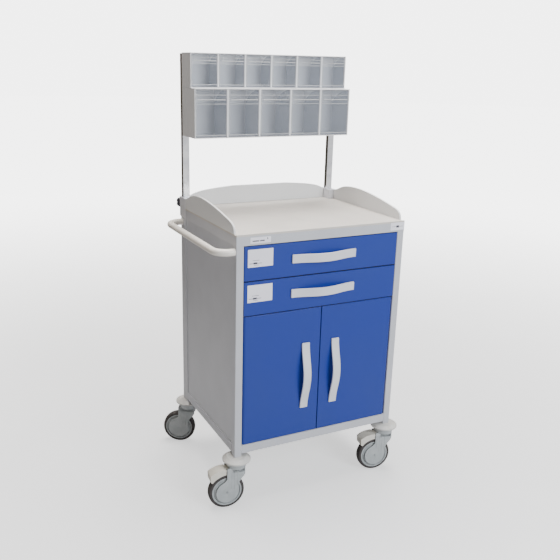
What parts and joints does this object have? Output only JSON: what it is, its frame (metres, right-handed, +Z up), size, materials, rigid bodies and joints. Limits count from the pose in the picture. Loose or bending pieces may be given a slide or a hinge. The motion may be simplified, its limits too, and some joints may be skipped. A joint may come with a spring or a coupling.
{
  "type": "medication cart",
  "caption": "Hospital medication cart: steel cabinet on casters with two drawers, double-door cupboard, side push handle and a raised tilt-bin unit.",
  "frame": {"origin": "on the floor below the middle of the whole cart's outline", "axes": "+Z up, the fronts face -Y, +X to the right of someone facing the fronts"},
  "size_m": [0.7447, 0.5852, 1.478],
  "materials": {
    "frame_paint": "satin",
    "front_paint": "satin",
    "worktop_plastic": "satin",
    "zinc_steel": "satin",
    "upright_chrome": "polished",
    "handle_plastic": "satin",
    "push_tube_paint": "satin",
    "housing_plastic": "satin",
    "bin_clear": "clear",
    "knob_plastic": "satin",
    "caster_plastic": "satin",
    "pedal_plastic": "satin",
    "tyre_rubber": "matte"
  },
  "bodies": {
    "root": {"corner_posts": "frame_paint", "top_frame": "frame_paint", "base_tray": "frame_paint", "side_panel_left": "frame_paint", "side_panel_right": "frame_paint", "back_panel": "frame_paint", "divider_panel": "frame_paint", "worktop": "worktop_plastic", "cupboard_shelf": "frame_paint", "slide_channels": "zinc_steel", "push_handle": "push_tube_paint", "upright_sockets": "handle_plastic", "door_catches": "knob_plastic", "corner_bumpers": "caster_plastic", "caster_stems": "zinc_steel", "door_pivots": "zinc_steel"},
    "drawer_upper": {"drawer_front_upper": "front_paint", "drawer_box_upper": "frame_paint", "drawer_handle_upper": "handle_plastic"},
    "slide_middle_upper": {"slide_middle_upper": "zinc_steel"},
    "drawer_lower": {"drawer_front_lower": "front_paint", "drawer_box_lower": "frame_paint", "drawer_handle_lower": "handle_plastic"},
    "slide_middle_lower": {"slide_middle_lower": "zinc_steel"},
    "door_left": {"door_left": "front_paint", "door_handle_left": "handle_plastic"},
    "door_right": {"door_right": "front_paint", "door_handle_right": "handle_plastic"},
    "caster_front_left": {"caster_fork_front_left": "caster_plastic"},
    "wheel_front_left": {"caster_rim_front_left": "caster_plastic", "caster_tyre_front_left": "tyre_rubber"},
    "pedal_front_left": {"brake_pedal_front_left": "pedal_plastic"},
    "caster_front_right": {"caster_fork_front_right": "caster_plastic"},
    "wheel_front_right": {"caster_rim_front_right": "caster_plastic", "caster_tyre_front_right": "tyre_rubber"},
    "pedal_front_right": {"brake_pedal_front_right": "pedal_plastic"},
    "caster_rear_left": {"caster_fork_rear_left": "caster_plastic"},
    "wheel_rear_left": {"caster_rim_rear_left": "caster_plastic", "caster_tyre_rear_left": "tyre_rubber"},
    "caster_rear_right": {"caster_fork_rear_right": "caster_plastic"},
    "wheel_rear_right": {"caster_rim_rear_right": "caster_plastic", "caster_tyre_rear_right": "tyre_rubber"},
    "bin_unit": {"uprights": "upright_chrome", "bin_rails": "frame_paint", "bin_housing_lower": "housing_plastic", "bin_housing_upper": "housing_plastic", "bin_dividers": "housing_plastic"},
    "bin_lower_1": {"bin_lower_1": "bin_clear"},
    "bin_lower_2": {"bin_lower_2": "bin_clear"},
    "bin_lower_3": {"bin_lower_3": "bin_clear"},
    "bin_lower_4": {"bin_lower_4": "bin_clear"},
    "bin_lower_5": {"bin_lower_5": "bin_clear"},
    "bin_upper_1": {"bin_upper_1": "bin_clear"},
    "bin_upper_2": {"bin_upper_2": "bin_clear"},
    "bin_upper_3": {"bin_upper_3": "bin_clear"},
    "bin_upper_4": {"bin_upper_4": "bin_clear"},
    "bin_upper_5": {"bin_upper_5": "bin_clear"},
    "bin_upper_6": {"bin_upper_6": "bin_clear"},
    "knob_left": {"clamp_knob_left": "knob_plastic"},
    "knob_right": {"clamp_knob_right": "knob_plastic"}
  },
  "joints": [
    {"name": "drawer_upper_slide", "type": "slide", "parent": "root", "child": "drawer_upper", "axis": [0, -1, 0], "range_m": [0, 0.4]},
    {"name": "slide_middle_upper_slide", "type": "slide", "parent": "root", "child": "slide_middle_upper", "axis": [0, -1, 0], "range_m": [0, 0.2]},
    {"name": "drawer_lower_slide", "type": "slide", "parent": "root", "child": "drawer_lower", "axis": [0, -1, 0], "range_m": [0, 0.4]},
    {"name": "slide_middle_lower_slide", "type": "slide", "parent": "root", "child": "slide_middle_lower", "axis": [0, -1, 0], "range_m": [0, 0.2]},
    {"name": "door_left_hinge", "type": "hinge", "parent": "root", "child": "door_left", "pos_m": [-0.24952, -0.24962, 0.45], "axis": [0, 0, -1], "range_deg": [0, 95]},
    {"name": "door_right_hinge", "type": "hinge", "parent": "root", "child": "door_right", "pos_m": [0.30048, -0.24962, 0.45], "axis": [0, 0, 1], "range_deg": [0, 95]},
    {"name": "caster_front_left_swivel", "type": "hinge", "parent": "root", "child": "caster_front_left", "pos_m": [-0.27302, -0.24562, 0.15], "axis": [0, 0, 1], "continuous": true},
    {"name": "wheel_front_left_spin", "type": "hinge", "parent": "caster_front_left", "child": "wheel_front_left", "pos_m": [-0.30982, -0.24176, 0.0625], "axis": [0.1045, 0.9945, 0], "continuous": true},
    {"name": "pedal_front_left_press", "type": "hinge", "parent": "caster_front_left", "child": "pedal_front_left", "pos_m": [-0.30385, -0.24238, 0.143], "axis": [-0.1045, -0.9945, 0], "range_deg": [0, 8]},
    {"name": "caster_front_right_swivel", "type": "hinge", "parent": "root", "child": "caster_front_right", "pos_m": [0.32398, -0.24562, 0.15], "axis": [0, 0, 1], "continuous": true},
    {"name": "wheel_front_right_spin", "type": "hinge", "parent": "caster_front_right", "child": "wheel_front_right", "pos_m": [0.28754, -0.2392, 0.0625], "axis": [0.1736, 0.9848, 0], "continuous": true},
    {"name": "pedal_front_right_press", "type": "hinge", "parent": "caster_front_right", "child": "pedal_front_right", "pos_m": [0.29345, -0.24024, 0.143], "axis": [-0.1736, -0.9848, 0], "range_deg": [0, 8]},
    {"name": "caster_rear_left_swivel", "type": "hinge", "parent": "root", "child": "caster_rear_left", "pos_m": [-0.27102, 0.23038, 0.15], "axis": [0, 0, 1], "continuous": true},
    {"name": "wheel_rear_left_spin", "type": "hinge", "parent": "caster_rear_left", "child": "wheel_rear_left", "pos_m": [-0.30274, 0.24943, 0.0625], "axis": [0.515, 0.8572, 0], "continuous": true},
    {"name": "caster_rear_right_swivel", "type": "hinge", "parent": "root", "child": "caster_rear_right", "pos_m": [0.32198, 0.23038, 0.15], "axis": [0, 0, 1], "continuous": true},
    {"name": "wheel_rear_right_spin", "type": "hinge", "parent": "caster_rear_right", "child": "wheel_rear_right", "pos_m": [0.28659, 0.24119, 0.0625], "axis": [0.2924, 0.9563, 0], "continuous": true},
    {"name": "bin_unit_height", "type": "slide", "parent": "root", "child": "bin_unit", "axis": [0, 0, 1], "range_m": [-0.12, 0.15]},
    {"name": "bin_lower_1_tilt", "type": "hinge", "parent": "bin_unit", "child": "bin_lower_1", "pos_m": [-0.22532, 0.10338, 1.211], "axis": [1, 0, 0], "range_deg": [0, 45]},
    {"name": "bin_lower_2_tilt", "type": "hinge", "parent": "bin_unit", "child": "bin_lower_2", "pos_m": [-0.10492, 0.10338, 1.211], "axis": [1, 0, 0], "range_deg": [0, 45]},
    {"name": "bin_lower_3_tilt", "type": "hinge", "parent": "bin_unit", "child": "bin_lower_3", "pos_m": [0.01548, 0.10338, 1.211], "axis": [1, 0, 0], "range_deg": [0, 45]},
    {"name": "bin_lower_4_tilt", "type": "hinge", "parent": "bin_unit", "child": "bin_lower_4", "pos_m": [0.13588, 0.10338, 1.211], "axis": [1, 0, 0], "range_deg": [0, 45]},
    {"name": "bin_lower_5_tilt", "type": "hinge", "parent": "bin_unit", "child": "bin_lower_5", "pos_m": [0.25628, 0.10338, 1.211], "axis": [1, 0, 0], "range_deg": [0, 45]},
    {"name": "bin_upper_1_tilt", "type": "hinge", "parent": "bin_unit", "child": "bin_upper_1", "pos_m": [-0.23536, 0.14038, 1.375], "axis": [1, 0, 0], "range_deg": [0, 45]},
    {"name": "bin_upper_2_tilt", "type": "hinge", "parent": "bin_unit", "child": "bin_upper_2", "pos_m": [-0.13502, 0.14038, 1.375], "axis": [1, 0, 0], "range_deg": [0, 45]},
    {"name": "bin_upper_3_tilt", "type": "hinge", "parent": "bin_unit", "child": "bin_upper_3", "pos_m": [-0.03469, 0.14038, 1.375], "axis": [1, 0, 0], "range_deg": [0, 45]},
    {"name": "bin_upper_4_tilt", "type": "hinge", "parent": "bin_unit", "child": "bin_upper_4", "pos_m": [0.06564, 0.14038, 1.375], "axis": [1, 0, 0], "range_deg": [0, 45]},
    {"name": "bin_upper_5_tilt", "type": "hinge", "parent": "bin_unit", "child": "bin_upper_5", "pos_m": [0.16598, 0.14038, 1.375], "axis": [1, 0, 0], "range_deg": [0, 45]},
    {"name": "bin_upper_6_tilt", "type": "hinge", "parent": "bin_unit", "child": "bin_upper_6", "pos_m": [0.26631, 0.14038, 1.375], "axis": [1, 0, 0], "range_deg": [0, 45]},
    {"name": "clamp_knob_left_turn", "type": "hinge", "parent": "root", "child": "knob_left", "pos_m": [-0.27102, 0.26538, 0.9575], "axis": [0, 1, 0], "range_deg": [0, 360]},
    {"name": "clamp_knob_right_turn", "type": "hinge", "parent": "root", "child": "knob_right", "pos_m": [0.32198, 0.26538, 0.9575], "axis": [0, 1, 0], "range_deg": [0, 360]}
  ],
  "couplings": [
    {"joint": "slide_middle_upper_slide", "follows": "drawer_upper_slide", "ratio": 0.5},
    {"joint": "slide_middle_lower_slide", "follows": "drawer_lower_slide", "ratio": 0.5}
  ]
}
